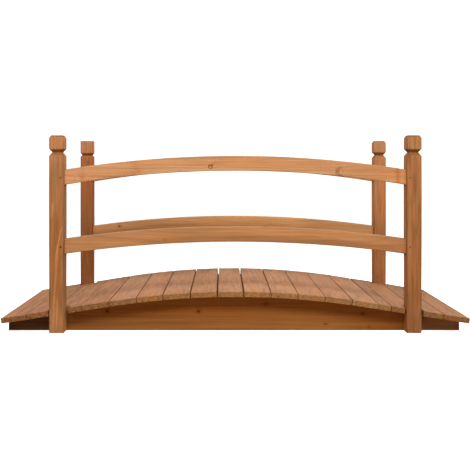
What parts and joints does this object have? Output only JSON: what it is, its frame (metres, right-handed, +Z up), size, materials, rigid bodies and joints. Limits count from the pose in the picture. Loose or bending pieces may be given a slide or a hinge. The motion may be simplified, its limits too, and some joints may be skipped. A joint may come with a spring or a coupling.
{
  "type": "garden moon bridge",
  "caption": "Small arched wooden garden footbridge with a cross-planked deck on solid side stringers, square grooved posts and curved rails along both sides.",
  "frame": {"origin": "on the ground under the middle of the bridge", "axes": "+X along the span to the right as seen from the front, +Y across the span from front to back, +Z up"},
  "size_m": [1.404, 0.6, 0.591],
  "materials": {
    "post_wood": "satin brown stain",
    "rail_wood": "satin brown stain",
    "stringer_wood": "satin brown stain",
    "deck_wood": "satin brown stain"
  },
  "bodies": {
    "root": {"front_left_post": "post_wood", "front_right_post": "post_wood", "back_left_post": "post_wood", "back_right_post": "post_wood", "front_top_rail": "rail_wood", "front_lower_rail": "rail_wood", "back_top_rail": "rail_wood", "back_lower_rail": "rail_wood", "front_stringer": "stringer_wood", "back_stringer": "stringer_wood", "deck_plank_01": "deck_wood", "deck_plank_02": "deck_wood", "deck_plank_03": "deck_wood", "deck_plank_04": "deck_wood", "deck_plank_05": "deck_wood", "deck_plank_06": "deck_wood", "deck_plank_07": "deck_wood", "deck_plank_08": "deck_wood", "deck_plank_09": "deck_wood", "deck_plank_10": "deck_wood", "deck_plank_11": "deck_wood", "deck_plank_12": "deck_wood", "deck_plank_13": "deck_wood", "deck_plank_14": "deck_wood", "deck_plank_15": "deck_wood", "deck_plank_16": "deck_wood", "deck_plank_17": "deck_wood", "deck_plank_18": "deck_wood"}
  },
  "joints": []
}
